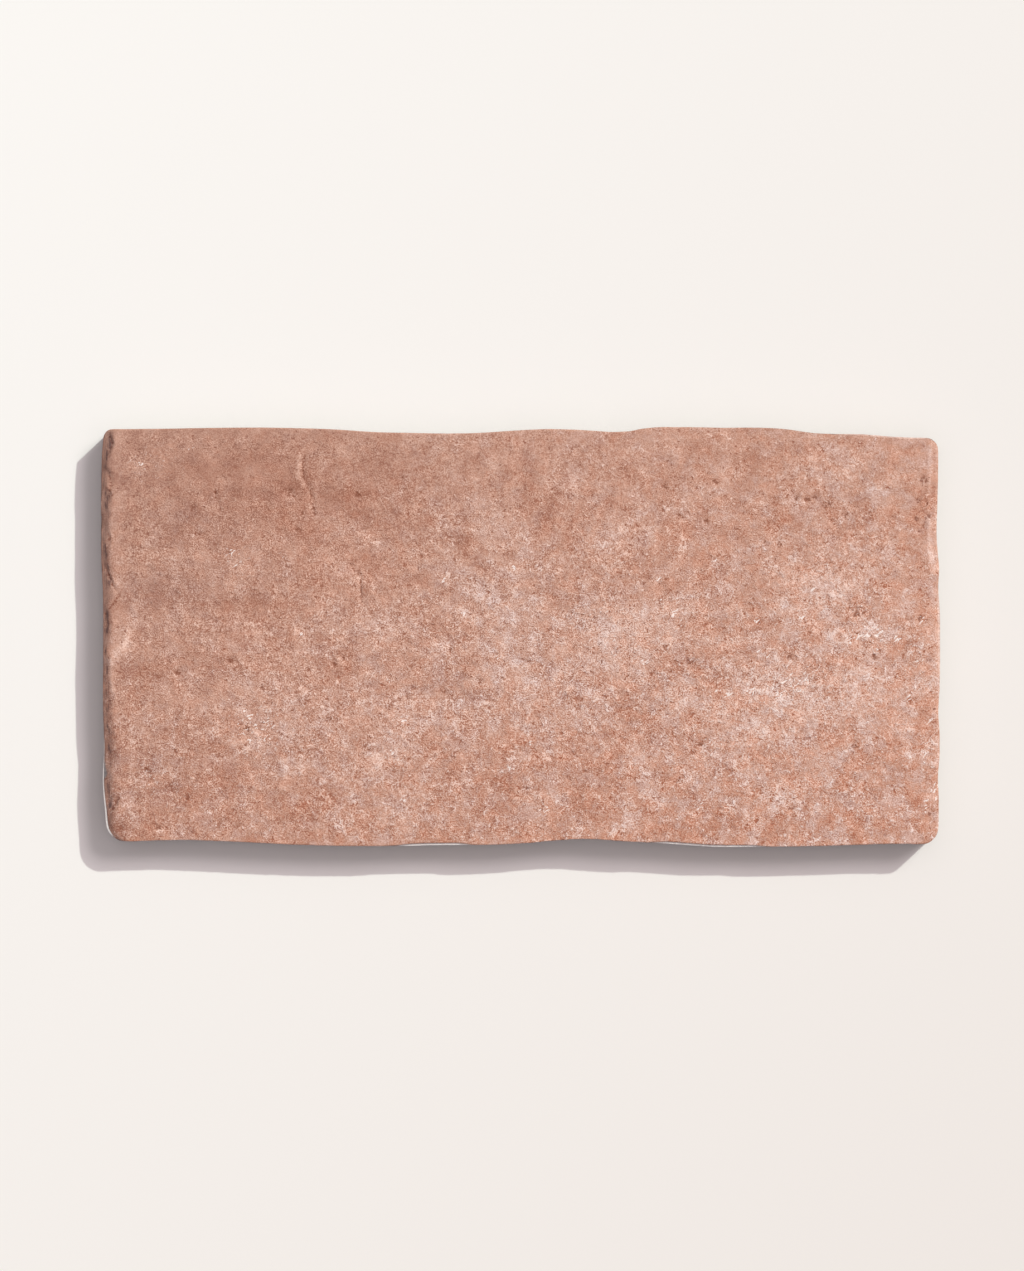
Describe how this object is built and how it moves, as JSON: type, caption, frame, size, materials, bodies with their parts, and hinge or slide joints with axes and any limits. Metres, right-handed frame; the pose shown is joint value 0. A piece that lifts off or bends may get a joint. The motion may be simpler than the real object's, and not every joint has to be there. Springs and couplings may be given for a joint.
{
  "type": "porcelain floor tile",
  "caption": "Brick-format rustic porcelain floor tile with wavy pressed edges, a rolled rim, a terracotta-look face and a keyed back.",
  "frame": {"origin": "middle of the back, on the bedding plane that the tile lies on", "axes": "+Z from the back to the face, +X along the length, +Y along the width"},
  "size_m": [0.2, 0.1, 0.01],
  "materials": {
    "tile": "satin"
  },
  "bodies": {
    "root": {"tile": "tile"}
  },
  "joints": []
}
